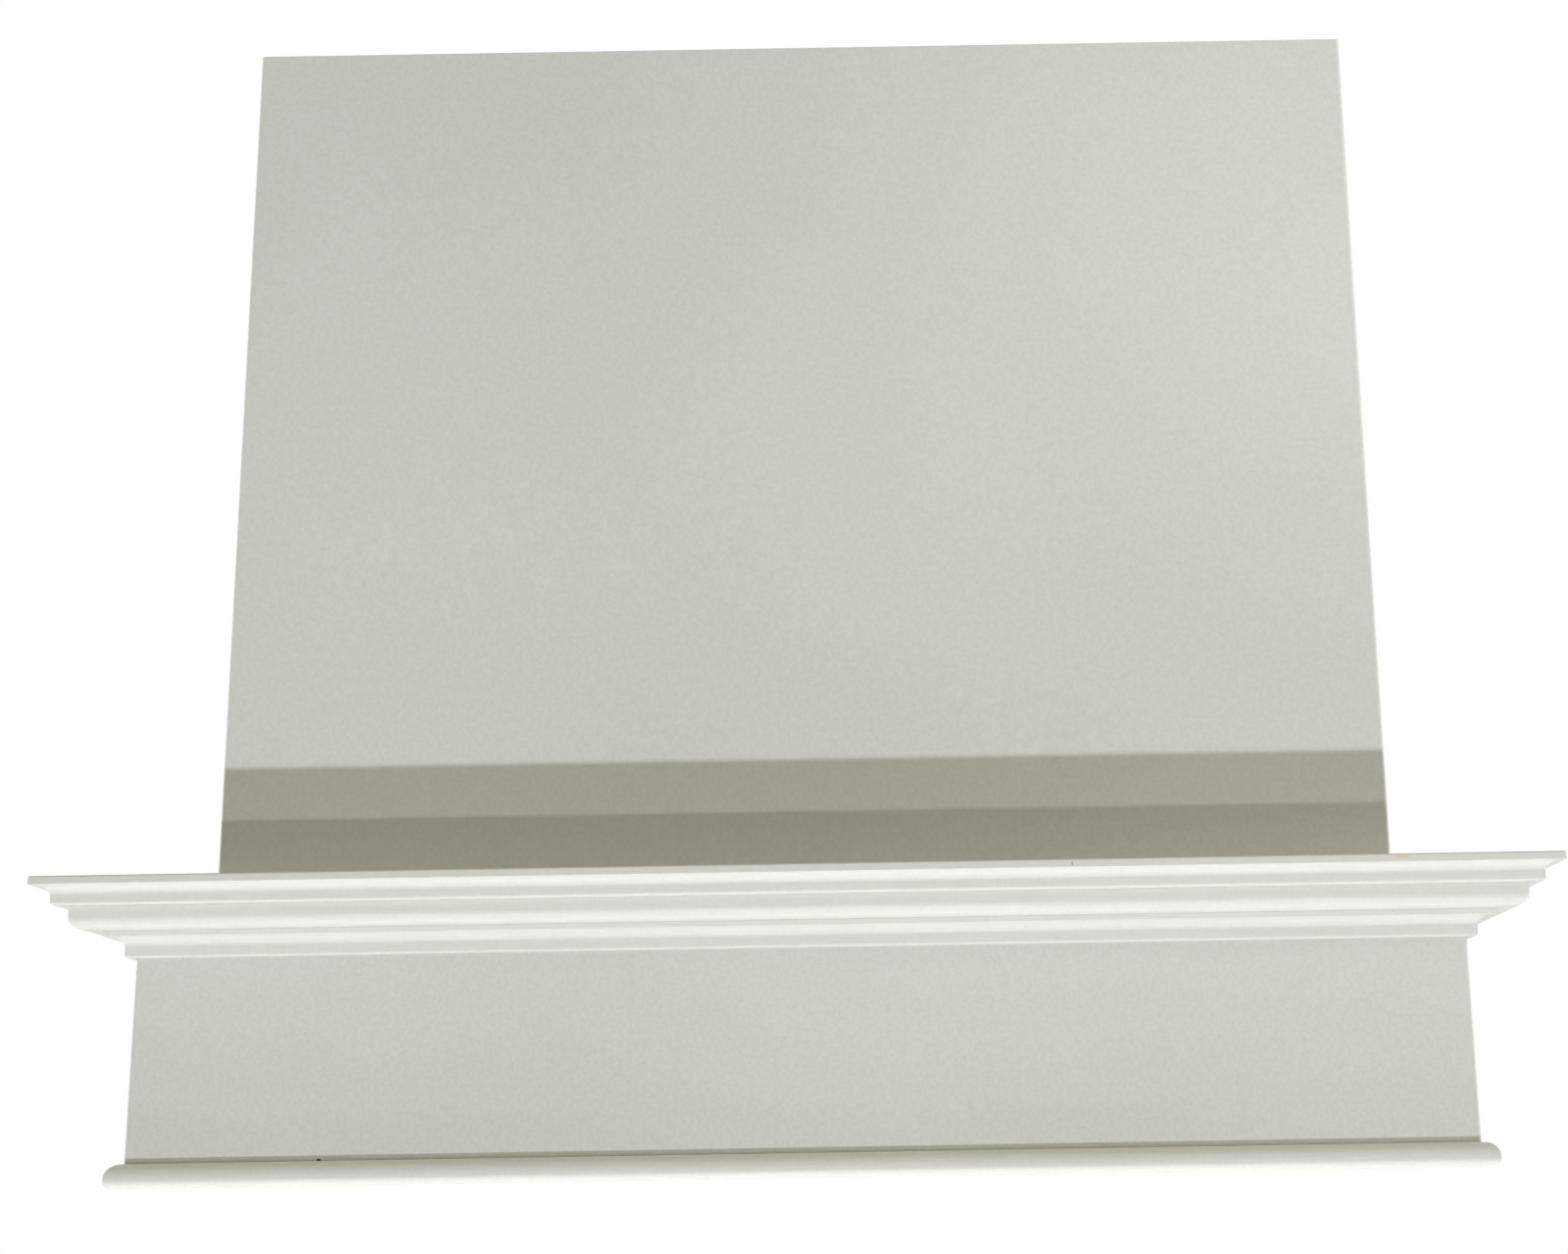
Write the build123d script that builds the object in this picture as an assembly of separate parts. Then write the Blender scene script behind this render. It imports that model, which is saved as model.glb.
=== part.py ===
from build123d import *
from math import cos, radians, sin
import os

os.makedirs("parts", exist_ok=True)

# Painted wooden range hood cover, in millimetres. X runs to the right, the wall is the plane Y = 0 with the
# room on its -Y side, Z is up, and Z = 0 is the underside of the cover.

# Upper box ("body"): a plain straight box that stands the full height of the cover.
body_width = 914.4
body_depth = 508.0
total_height = 934.0
panel = 18.0
body_arris = 2.0
rabbet_depth = 9.0

# Apron: boards that stand off the lower part of the body on furring strips.
apron_board = 19.05
furring_thickness = 25.4
furring_height = 38.0
apron_arris = 2.0

# Nose: the board below the apron, with a wide round above and a tight one below.
nose_projection = 10.8
nose_upper_radius = 10.6
nose_face = 1.4
nose_lower_radius = 6.0

# Crown: three routed members stacked round the top of the apron. One cutter makes both coves.
bed_bottom = 169.0
bed_height = 19.05
bed_projection = 19.05
bed_fillet = 4.3
ovolo_projection = 38.7
ovolo_face = 7.9
ovolo_radius = 8.7
ledge_thickness = 19.8
ledge_projection = 61.8
ledge_fillet = 6.2
ledge_arris = 1.5
cove_lip = 4.0
cove_radius = 9.5
cove_sweep = 66.0

# Inner frame.
strip = 18.0
strip_height = 38.0
corner_block = 30.0
rail_thickness = 18.0
hanging_rail_height = 100.0
hanging_rail_gap = 16.0
lower_rail_height = 90.0
wall_cleat_height = 80.0
wall_cleat_side_gap = 3.0
stud_spacing = 406.4
wall_hole_radius = 2.75
wall_cleat_hole_drop = 32.0
insert_hole_radius = 1.6
insert_hole_depth = 28.0
insert_hole_spacing = 320.0

# Screws: washer heads, plain shanks.
screw_radius = 2.1
screw_head_radius = 4.2
screw_head_height = 2.2
screw_bite = 12.0
hole_clearance = 0.06
pocket_radius = 4.8
pocket_angle = 15.0
pocket_setback = 20.0
pocket_screw_pitch = 44.0

# Derived positions.
build_out = furring_thickness + apron_board
apron_half = body_width / 2 + build_out
apron_front = body_depth + build_out
inner_half = body_width / 2 - panel
inner_front = body_depth - panel
nose_height = nose_lower_radius + nose_face + nose_upper_radius
cove_reach = cove_lip + cove_radius * sin(radians(cove_sweep))
cove_drop = cove_radius * (1 - cos(radians(cove_sweep)))
ovolo_bottom = bed_bottom + bed_height
ledge_bottom = ovolo_bottom + ovolo_radius + ovolo_face
ledge_top = ledge_bottom + ledge_thickness
nailer_bottom = total_height - strip_height
rail_top = nailer_bottom - hanging_rail_gap
rail_point = rail_top - hanging_rail_height
rail_lip = rail_point + rail_thickness
ledger_middle = -(inner_front - strip + rail_thickness) / 2


def board(x0, x1, y0, y1, z0, z1):
    """A plain box between two corners."""
    return Pos((x0 + x1) / 2, (y0 + y1) / 2, (z0 + z1) / 2) * Box(abs(x1 - x0), abs(y1 - y0), abs(z1 - z0))


def mirrored(shape):
    """The right-hand copy of a left-hand piece."""
    return mirror(shape, about=Plane.YZ)


def plan_prism(points):
    """A tall prism over a polygon in plan, used to cut mitres."""
    face = make_face(Polyline(*points, close=True))
    return Pos(0, 0, -50) * extrude(face, amount=total_height + 100)


def front_run(section, inner, outer):
    """The front length of a section (outward distance from the apron face, height), mitred at both ends."""
    plane = Plane(origin=(0, -apron_front, 0), x_dir=(0, -1, 0), z_dir=(-1, 0, 0))
    bar = extrude(plane * section, amount=apron_half + outer + 10, both=True)
    corners = [
        (-apron_half - inner, -apron_front - inner),
        (apron_half + inner, -apron_front - inner),
        (apron_half + outer, -apron_front - outer),
        (-apron_half - outer, -apron_front - outer),
    ]
    return bar & plan_prism(corners)


def left_run(section, inner, outer):
    """The left return of a section, square at the wall and mitred at the front corner."""
    plane = Plane(origin=(-apron_half, 0, 0), x_dir=(-1, 0, 0), z_dir=(0, 1, 0))
    bar = extrude(plane * section, amount=-(apron_front + outer + 10))
    corners = [
        (-apron_half - inner, 0),
        (-apron_half - outer, 0),
        (-apron_half - outer, -apron_front - outer),
        (-apron_half - inner, -apron_front - inner),
    ]
    return bar & plan_prism(corners)


def add_runs(name, section, inner, outer):
    """Front, left and right pieces of one mitred member."""
    left = left_run(section, inner, outer)
    pieces[name + "_front"] = front_run(section, inner, outer)
    pieces[name + "_left"] = left
    pieces[name + "_right"] = mirrored(left)


def cove(outer, top):
    """The hollow under a lip: it leaves the lip's flat underside level and meets the plain wall below."""
    return CenterArc((outer - cove_lip, top - cove_radius), cove_radius, 90, cove_sweep)


def bed_section():
    """Bed mould: a fillet over a cove over a plain wall."""
    wall = bed_projection - cove_reach
    top = bed_bottom + bed_height
    cove_top = top - bed_fillet
    edges = [
        Polyline((wall, cove_top - cove_drop), (wall, bed_bottom), (0, bed_bottom), (0, top), (bed_projection, top),
                 (bed_projection, cove_top), (bed_projection - cove_lip, cove_top)),
        cove(bed_projection, cove_top),
    ]
    return make_face(edges)


def ovolo_section():
    """Middle member: a plain face that rounds under."""
    flat = ovolo_projection - ovolo_radius
    shoulder = ovolo_bottom + ovolo_radius
    edges = [
        Polyline((flat, ovolo_bottom), (0, ovolo_bottom), (0, ledge_bottom), (ovolo_projection, ledge_bottom),
                 (ovolo_projection, shoulder)),
        CenterArc((flat, shoulder), ovolo_radius, -90, 90),
    ]
    return make_face(edges)


def ledge_section():
    """Top member: the ledge board, eased above and coved below its lip."""
    wall = ledge_projection - cove_reach
    cove_top = ledge_top - ledge_fillet
    edges = [
        Polyline((wall, cove_top - cove_drop), (wall, ledge_bottom), (-build_out, ledge_bottom),
                 (-build_out, ledge_top), (ledge_projection - ledge_arris, ledge_top)),
        CenterArc((ledge_projection - ledge_arris, ledge_top - ledge_arris), ledge_arris, 0, 90),
        Polyline((ledge_projection, ledge_top - ledge_arris), (ledge_projection, cove_top),
                 (ledge_projection - cove_lip, cove_top)),
        cove(ledge_projection, cove_top),
    ]
    return make_face(edges)


def nose_section():
    """Bottom board: a tight round below, a short face and a wide round above."""
    below = nose_projection - nose_lower_radius
    above = nose_projection - nose_upper_radius
    shoulder = nose_lower_radius + nose_face
    edges = [
        Polyline((below, 0), (-build_out, 0), (-build_out, nose_height), (above, nose_height)),
        CenterArc((above, shoulder), nose_upper_radius, 0, 90),
        Polyline((nose_projection, shoulder), (nose_projection, nose_lower_radius)),
        CenterArc((below, nose_lower_radius), nose_lower_radius, -90, 90),
    ]
    return make_face(edges)


def apron_section():
    """Apron board between the nose and the ledge."""
    return make_face(Polyline((-apron_board, nose_height), (0, nose_height), (0, ledge_bottom),
                              (-apron_board, ledge_bottom), close=True))


def turned(points):
    """A solid of revolution about Z from (radius, height) points."""
    return revolve(Plane.XZ * make_face(Polyline(*points, close=True)), axis=Axis.Z)


def screw(length):
    """A washer-head screw that points down from its seat at Z = 0."""
    return turned([(0, screw_head_height), (screw_head_radius, screw_head_height), (screw_head_radius, 0),
                   (screw_radius, 0), (screw_radius, -length), (0, -length)])


def hole(length):
    """The close hole of a screw, from just above its seat."""
    return Pos(0, 0, (hole_clearance - length) / 2) * Cylinder(screw_radius + hole_clearance, length + 3 * hole_clearance)


def drive(group, place, length, through):
    """Put one screw at place and cut its hole in every piece that it passes."""
    screws.setdefault(group, []).append(place * screw(length))
    for name in through:
        pieces[name] = pieces[name] - place * hole(length)


def spread(span, count):
    """Evenly spaced places along a span, centred on zero, half a step in from each end."""
    step = span / count
    return [step * (i + 0.5) - span / 2 for i in range(count)]


pieces = {}
screws = {}

# Body panels: the front overlaps the sides, which stand in rabbets along its back edges.
front = board(-body_width / 2, body_width / 2, -body_depth, -inner_front, 0, total_height)
front = fillet(front.edges().filter_by(Axis.Z).group_by(Axis.Y)[0], body_arris)
for side in (-1, 1):
    front -= board(side * inner_half, side * (body_width / 2 + 1), -inner_front - rabbet_depth, -inner_front + 1,
                   -1, total_height + 1)
pieces["body_front"] = front
pieces["body_left"] = board(-body_width / 2, -inner_half, -inner_front - rabbet_depth, 0, 0, total_height)
pieces["body_right"] = mirrored(pieces["body_left"])

# Strips inside the body: the top nailers and the ledgers that carry a ventilator insert.
for name, low in (("top_nailer", nailer_bottom), ("insert_ledger", 0)):
    rear = -rail_thickness if name == "insert_ledger" else 0
    pieces[name + "_front"] = board(-inner_half, inner_half, -inner_front, -inner_front + strip,
                                    low, low + strip_height)
    pieces[name + "_left"] = board(-inner_half, -inner_half + strip, -inner_front + strip, rear,
                                   low, low + strip_height)
    pieces[name + "_right"] = mirrored(pieces[name + "_left"])

# Three-cornered glue blocks up the inside of the front corners.
corner = make_face(Polyline((-inner_half, -inner_front), (-inner_half + corner_block, -inner_front),
                            (-inner_half, -inner_front + corner_block), close=True))
pieces["corner_block_left"] = Pos(0, 0, strip_height) * extrude(corner, amount=nailer_bottom - strip_height)
pieces["corner_block_right"] = mirrored(pieces["corner_block_left"])

# Rails across the open back. The hanging rail's lower edge is bevelled and hooks over the wall cleat.
side_plane = Plane(origin=(0, 0, 0), x_dir=(0, -1, 0), z_dir=(-1, 0, 0))
rail = make_face(Polyline((0, rail_point), (rail_thickness, rail_lip), (rail_thickness, rail_top), (0, rail_top),
                          close=True))
pieces["hanging_rail"] = extrude(side_plane * rail, amount=inner_half, both=True)
pieces["lower_rear_rail"] = board(-inner_half, inner_half, -rail_thickness, 0, 0, lower_rail_height)
cleat_bottom = rail_point - wall_cleat_height
cleat = make_face(Polyline((0, rail_point), (rail_thickness, rail_lip), (rail_thickness, cleat_bottom),
                           (0, cleat_bottom), close=True))
pieces["wall_cleat"] = extrude(side_plane * cleat, amount=inner_half - wall_cleat_side_gap, both=True)

# Apron, furring, nose and the three crown members.
add_runs("apron", apron_section(), -apron_board, 0)
rounded = make_face(Polyline((-apron_half, 0), (-apron_half, -apron_front), (apron_half, -apron_front),
                             (apron_half, 0), close=True))
rounded = fillet(rounded.vertices().group_by(Axis.Y)[0], apron_arris)
for name in ("apron_front", "apron_left", "apron_right"):
    pieces[name] = pieces[name] & extrude(rounded, amount=total_height)
for name, low in (("lower", nose_height), ("upper", ledge_bottom - furring_height)):
    inside = body_width / 2
    outside = inside + furring_thickness
    pieces["furring_front_" + name] = board(-outside, outside, -body_depth - furring_thickness, -body_depth,
                                            low, low + furring_height)
    pieces["furring_left_" + name] = board(-outside, -inside, -body_depth, 0, low, low + furring_height)
    pieces["furring_right_" + name] = mirrored(pieces["furring_left_" + name])
add_runs("nose", nose_section(), -build_out, nose_projection)
add_runs("bed_mould", bed_section(), 0, bed_projection)
add_runs("ovolo", ovolo_section(), 0, ovolo_projection)
add_runs("ledge", ledge_section(), -build_out, ledge_projection)

# Screws through the ledgers into the panels.
for x in spread(2 * (inner_half - corner_block), 3):
    drive("ledger_screws", Pos(x, -inner_front + strip, strip_height / 2) * Rot(-90, 0, 0), strip + screw_bite,
          ["insert_ledger_front", "body_front"])
for side, hand in ((-1, "left"), (1, "right")):
    for y in spread(inner_front - strip - rail_thickness, 2):
        place = Pos(side * (inner_half - strip), ledger_middle + y, strip_height / 2) * Rot(0, -90 * side, 0)
        drive("ledger_screws", place, strip + screw_bite, ["insert_ledger_" + hand, "body_" + hand])

# Pocket screws that hold the two rails to the side panels, two at each end, driven at a slant from the inside.
slope = radians(pocket_angle)
for name, middle in (("hanging_rail", (rail_lip + rail_top) / 2), ("lower_rear_rail", lower_rail_height / 2)):
    for side, hand in ((-1, "left"), (1, "right")):
        for z in (middle - pocket_screw_pitch / 2, middle + pocket_screw_pitch / 2):
            entry = Vector(side * inner_half, -rail_thickness / 2, z)
            way = Vector(side * cos(slope), sin(slope), 0)
            buried = pocket_setback / cos(slope)
            place = Plane(origin=entry - way * buried, z_dir=-way).location
            pocket = Pos(0, 0, pocket_setback) * Cylinder(pocket_radius, 2 * pocket_setback)
            pieces[name] = pieces[name] - place * pocket
            drive("pocket_screws", place, buried + screw_bite, [name, "body_" + hand])

# Holes for what the kitchen brings: screws into the wall studs, and screws up into the ledgers.
for name, z in (("wall_cleat", rail_point - wall_cleat_hole_drop), ("lower_rear_rail", lower_rail_height / 2)):
    for side in (-1, 1):
        place = Pos(side * stud_spacing / 2, -rail_thickness / 2, z) * Rot(90, 0, 0)
        pieces[name] = pieces[name] - place * Cylinder(wall_hole_radius, 2 * rail_thickness)
for side, hand in ((-1, "left"), (1, "right")):
    for y in (-insert_hole_spacing / 2, insert_hole_spacing / 2):
        place = Pos(side * (inner_half - strip / 2), ledger_middle + y, 0)
        pieces["insert_ledger_" + hand] -= place * Cylinder(insert_hole_radius, 2 * insert_hole_depth)

for name, shape in pieces.items():
    export_step(shape, "parts/" + name + ".step")
for name, group in screws.items():
    export_step(Compound([one.solid() for one in group]), "parts/" + name + ".step")
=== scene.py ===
# %% [markdown]
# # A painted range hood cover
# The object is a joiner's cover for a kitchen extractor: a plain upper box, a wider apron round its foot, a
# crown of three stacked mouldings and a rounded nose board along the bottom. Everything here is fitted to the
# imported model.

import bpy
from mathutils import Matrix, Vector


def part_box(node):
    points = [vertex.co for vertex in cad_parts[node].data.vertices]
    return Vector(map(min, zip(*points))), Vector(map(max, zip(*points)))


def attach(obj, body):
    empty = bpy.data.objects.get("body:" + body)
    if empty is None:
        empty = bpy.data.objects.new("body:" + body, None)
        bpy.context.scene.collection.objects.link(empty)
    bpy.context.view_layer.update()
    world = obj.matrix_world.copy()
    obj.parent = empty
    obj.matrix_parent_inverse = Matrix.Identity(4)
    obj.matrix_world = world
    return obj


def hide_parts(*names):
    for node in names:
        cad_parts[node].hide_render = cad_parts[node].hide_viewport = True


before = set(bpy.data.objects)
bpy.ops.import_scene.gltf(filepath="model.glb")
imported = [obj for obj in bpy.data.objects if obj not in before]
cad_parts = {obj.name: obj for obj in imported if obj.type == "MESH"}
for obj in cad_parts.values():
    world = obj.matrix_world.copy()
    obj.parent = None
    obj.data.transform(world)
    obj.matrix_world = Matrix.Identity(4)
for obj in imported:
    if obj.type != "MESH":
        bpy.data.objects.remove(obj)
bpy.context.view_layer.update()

# %% [markdown]
# The camera stands in front of the hood, a little right of its middle and level with its underside, and looks
# up. Its numbers come from fitting the edges of the photograph. The lens axis meets the picture right of the
# middle, so the sensor is shifted sideways by that much instead of turning the camera, which would make the
# horizontal lines run together.

# %% Camera
from math import cos, pi, radians, sin, tan

import bmesh
import bpy
from mathutils import Matrix, Vector

scene = bpy.context.scene
picture_width, picture_height = 1600, 1280
focal_length_px = 2324.9
axis_px = Vector((935.4, 648.0))
camera_place = Vector((0.0905, -2.2759, 0.0020))
camera_pitch, camera_roll = radians(13.298), radians(0.952)

lens = bpy.data.cameras.new("camera")
lens.sensor_width = 36.0
lens.lens = lens.sensor_width * focal_length_px / picture_width
lens.shift_x = (picture_width / 2 - axis_px.x) / picture_width
lens.shift_y = (axis_px.y - picture_height / 2) / picture_width
camera = bpy.data.objects.new("camera", lens)
aim = Matrix.Rotation(pi / 2 + camera_pitch, 4, "X") @ Matrix.Rotation(-camera_roll, 4, "Z")
camera.matrix_world = Matrix.Translation(camera_place) @ aim
scene.collection.objects.link(camera)
scene.camera = camera
scene.view_settings.view_transform = "Standard"
print("lens", round(lens.lens, 2), "mm, shift", round(lens.shift_x, 4), round(lens.shift_y, 4))

# %% [markdown]
# The pieces are drawn from a few sizes. Most are read from the frame's own boxes. The curves of the mouldings
# can't be, so the cutter sizes are written here again, in metres, as the drawing of the part has them. Only the
# upright corners are rounder than the bare board's, because sanding and two coats of paint soften them.

# %% Sizes
MM = 0.001
body_low, body_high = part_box("body_front")
apron_low, apron_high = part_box("apron_front")
bed_low, bed_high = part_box("bed_mould_front")
ovolo_low, ovolo_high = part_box("ovolo_front")
ledge_low, ledge_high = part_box("ledge_front")
nose_low, nose_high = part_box("nose_front")
rail_low, rail_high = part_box("lower_rear_rail")
ledger_low, ledger_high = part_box("insert_ledger_front")

body_half, body_front, body_top = body_high.x, -body_low.y, body_high.z
apron_half, apron_front = -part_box("apron_left")[0].x, -apron_low.y
inner_half, inner_front = rail_high.x, -ledger_low.y
rail_thickness = -rail_low.y
build_out = apron_half - body_half
apron_board = apron_high.y - apron_low.y
panel_rabbet = 9.0 * MM
body_arris = apron_arris = 3.2 * MM
cove_lip, cove_radius, cove_sweep = 4.0 * MM, 9.5 * MM, 66.0
bed_fillet, ledge_fillet, ledge_arris = 4.3 * MM, 6.2 * MM, 1.5 * MM
ovolo_radius = 8.7 * MM
nose_upper_radius, nose_lower_radius = 10.6 * MM, 6.0 * MM
print("body", round(2 * body_half, 4), "apron", round(2 * apron_half, 4), "height", round(body_top, 4), "m")

# %% [markdown]
# Every finish is a small node tree. One helper adds a node, sets its inputs to numbers or to the outputs of
# other nodes, and gives back one output, so that a tree reads as a list of steps.

# %% Helpers for finishes
def put(tree, kind, inputs=None, output=0, **settings):
    """Add a node, fill its inputs by name or place, and give back one of its outputs."""
    made = tree.nodes.new(kind)
    for key, value in settings.items():
        setattr(made, key, value)
    for key, value in (inputs or {}).items():
        if isinstance(value, bpy.types.NodeSocket):
            tree.links.new(value, made.inputs[key])
        else:
            made.inputs[key].default_value = value
    return made.outputs[output]


def new_finish(name, roughness=0.5, metallic=0.0):
    """A material with one shader, and the object's own coordinates in metres."""
    material = bpy.data.materials.new(name)
    material.use_nodes = True
    tree = material.node_tree
    shader = tree.nodes["Principled BSDF"]
    shader.inputs["Roughness"].default_value = roughness
    shader.inputs["Metallic"].default_value = metallic
    return material, tree, shader, put(tree, "ShaderNodeTexCoord", output="Object")


def noise(tree, spot, scale, detail=2.0, roughness=0.5, stretch=(1, 1, 1)):
    """Soft noise from 0 to 1; stretch divides its frequency along each axis."""
    if stretch != (1, 1, 1):
        spot = vector_maths(tree, "MULTIPLY", spot, [1 / s for s in stretch])
    pattern = {"Vector": spot, "Scale": scale, "Detail": detail, "Roughness": roughness}
    return put(tree, "ShaderNodeTexNoise", pattern)


def maths(tree, operation, a, b):
    """One sum on two numbers."""
    return put(tree, "ShaderNodeMath", {0: a, 1: b}, operation=operation)


def vector_maths(tree, operation, a, b):
    """One sum on two vectors, or on a vector and the number that scales it."""
    place = 3 if operation == "SCALE" else 1
    return put(tree, "ShaderNodeVectorMath", {0: a, place: b}, operation=operation)


def ramp(tree, value, low, high, smooth=True):
    """Stretch the span from low to high to the span from 0 to 1."""
    span = {"Value": value, "From Min": low, "From Max": high}
    return put(tree, "ShaderNodeMapRange", span, interpolation_type="SMOOTHSTEP" if smooth else "LINEAR")


def mix_colour(tree, share, a, b):
    """Colour a where share is 0 and b where it is 1."""
    a, b = [(*c, 1.0) if isinstance(c, tuple) else c for c in (a, b)]
    return put(tree, "ShaderNodeMix", {0: share, 6: a, 7: b}, output=2, data_type="RGBA")


def mix_value(tree, share, a, b):
    """Number a where share is 0 and b where it is 1."""
    return put(tree, "ShaderNodeMix", {0: share, 2: a, 3: b}, data_type="FLOAT")


def bump(tree, height, depth, under=None):
    """Turn a height from 0 to 1 into a surface that rises by depth, in metres, over the one under it."""
    relief = {"Height": height, "Distance": depth}
    if under is not None:
        relief["Normal"] = under
    return put(tree, "ShaderNodeBump", relief)


def feed(shader, name, source):
    """Lead an output into one of a shader's inputs."""
    shader.id_data.links.new(source, shader.inputs[name])


print("finish helpers ready")

# %% [markdown]
# The cover is fibreboard with a rolled satin paint: off-white, with a fine stipple from the roller and a slow
# drift of tone. The same tree also holds the raw board, because the paint stops where the roller could not
# reach. A paint attribute on each corner of the mesh says how far the paint came, and noise frays its edge. On
# the mouldings the same paint gets whiter tones: painted light, a lift that stands for the extra light they
# catch from below. The fibres that the cutter raised stand up in streaks along the run; those follow the UV map.

# %% White paint over fibreboard
rolled_tones = ((0.628, 0.628, 0.579), (0.722, 0.722, 0.681))
# The moulding tones are whiter than the rolled ones: painted light, a lift that stands for the extra light the
# mouldings catch from below.
painted_light_moulding_tones = ((0.700, 0.700, 0.645), (0.795, 0.795, 0.750))
board_pale, board_dark = (0.520, 0.365, 0.225), (0.400, 0.270, 0.155)
speckle_share, streak_share = 0.68, 0.45
satin_low, satin_high, raw_roughness = 0.44, 0.60, 0.88
stipple_depth, wave_depth, fibre_depth = 0.12 * MM, 0.5 * MM, 0.09 * MM
streak_length, streak_width = 14.0 * MM, 0.9 * MM


def painted_board(name, tones, grain_depth):
    """White paint, dark to light, that frays to raw fibreboard; grain_depth is the rise of the cut fibres."""
    material, tree, shader, spot = new_finish(name)
    reach = put(tree, "ShaderNodeAttribute", output="Fac", attribute_name="paint")
    fray = maths(tree, "MULTIPLY", noise(tree, spot, 190.0, detail=4.0, roughness=0.6), 0.7)
    cover = ramp(tree, maths(tree, "ADD", reach, fray), 0.80, 0.98)

    drift = ramp(tree, noise(tree, spot, 3.2), 0.2, 0.8)
    speckle = ramp(tree, noise(tree, spot, 320.0, detail=3.0, roughness=0.65), 0.3, 0.7, smooth=False)
    tone = mix_value(tree, speckle_share, drift, speckle)
    if grain_depth:
        run = put(tree, "ShaderNodeUVMap", uv_map="UVMap")
        streak = noise(tree, run, 1.0, detail=4.0, roughness=0.65, stretch=(streak_length, streak_width, 1.0))
        tone = mix_value(tree, streak_share, tone, ramp(tree, streak, 0.3, 0.7, smooth=False))
    paint = mix_colour(tree, tone, *tones)
    fibre = noise(tree, spot, 520.0, detail=4.0, roughness=0.7, stretch=(1.6, 1.6, 0.9))
    board = mix_colour(tree, ramp(tree, fibre, 0.35, 0.68), board_dark, board_pale)
    feed(shader, "Base Color", mix_colour(tree, cover, board, paint))

    sheen = mix_value(tree, noise(tree, spot, 38.0, detail=3.0), satin_low, satin_high)
    feed(shader, "Roughness", mix_value(tree, cover, raw_roughness, sheen))

    stipple = bump(tree, noise(tree, spot, 230.0, detail=3.0, roughness=0.6), stipple_depth)
    surface = bump(tree, noise(tree, spot, 7.0, detail=1.0), wave_depth, stipple)
    if grain_depth:
        surface = bump(tree, streak, grain_depth, surface)
    feed(shader, "Normal", surface)
    return material


rolled_paint = painted_board("rolled_white_paint", rolled_tones, 0.0)
# The moulding paint carries that painted light in its whiter tones, as well as the real raised grain.
routed_paint_with_painted_light = painted_board("routed_white_paint_with_painted_light", painted_light_moulding_tones, fibre_depth)
print("paint finishes", rolled_paint.name, routed_paint_with_painted_light.name)

# %% [markdown]
# The hidden strips are sawn pine. Its year rings are shells round a pith that lies outside the strip, so the
# strip's faces show long, slightly wavering lines and its ends show arcs. A solid texture does both at once:
# rings round the grain's axis, which is set off to the side, bent by slow noise that is drawn out along the
# grain. The upright blocks have their pith far off, so that the shells cut their slanted faces in straight
# lines.

# %% Pine
pine_pale, pine_late = (0.720, 0.520, 0.290), (0.500, 0.285, 0.120)
late_share, fibre_share = 0.85, 0.22
ring_width = 3.6 * MM
wave_period = 0.314  # metres from ring to ring in a wave texture whose scale is 1
ring_bend = (0.0, 0.020, 0.020)
drawn_along_grain = (0.12, 1.0, 1.0)


def pine(name, turn, pith):
    """Sawn pine whose grain runs along X after the turn, and whose pith is set off by the distance given."""
    material, tree, shader, spot = new_finish(name, 0.68)
    lie = put(tree, "ShaderNodeMapping", {"Vector": spot, "Rotation": turn, "Location": pith})
    drawn_out = vector_maths(tree, "MULTIPLY", lie, drawn_along_grain)
    waver = {"Vector": drawn_out, "Scale": 16.0, "Detail": 2.0}
    bend = put(tree, "ShaderNodeTexNoise", waver, output="Color")
    bend_by = vector_maths(tree, "MULTIPLY", bend, ring_bend)
    shells = vector_maths(tree, "ADD", lie, bend_by)
    wave = {"Vector": shells, "Scale": wave_period / ring_width, "Distortion": 0.1, "Detail": 2.0,
            "Detail Scale": 2.0}
    rings = put(tree, "ShaderNodeTexWave", wave, wave_type="RINGS", rings_direction="X", wave_profile="SAW")
    late = ramp(tree, rings, 0.45, 1.0)
    fibre = noise(tree, lie, 900.0, roughness=0.6, stretch=(40, 1, 1))
    wood = mix_colour(tree, maths(tree, "MULTIPLY", late, late_share), pine_pale, pine_late)
    threads = maths(tree, "MULTIPLY", ramp(tree, fibre, 0.5, 0.75), fibre_share)
    feed(shader, "Base Color", mix_colour(tree, threads, wood, pine_late))
    feed(shader, "Normal", bump(tree, maths(tree, "ADD", fibre, late), 0.07 * MM))
    return material


near_pith, far_pith = (0.13, 0.031, -0.047), (0.13, 0.031, -2.0)
pine_finish = {"front": pine("pine_across", (0, 0, 0), near_pith),
               "side": pine("pine_deep", (0, 0, pi / 2), near_pith),
               "upright": pine("pine_upright", (0, pi / 2, 0), far_pith)}
print("pine finishes", [m.name for m in pine_finish.values()])

# %% [markdown]
# The rails and the wall cleat are birch plywood. Thirteen veneers lie across the thickness, and only a cut edge
# shows them. As the bands are a solid texture in Y, the faces show one veneer, the edges show all of them, and
# the bevel of the hook shows them spread wide, with no masks. The cleat is cut from another stretch of the
# sheet, so its figure is shifted and doesn't run on into the rail above it.

# %% Plywood
birch_pale, birch_warm, ply_dark = (0.700, 0.520, 0.325), (0.600, 0.415, 0.235), (0.330, 0.190, 0.095)
cross_shade, pore_shade, glue_shade = 0.35, 0.3, 0.6
veneer = rail_thickness / 13


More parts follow.
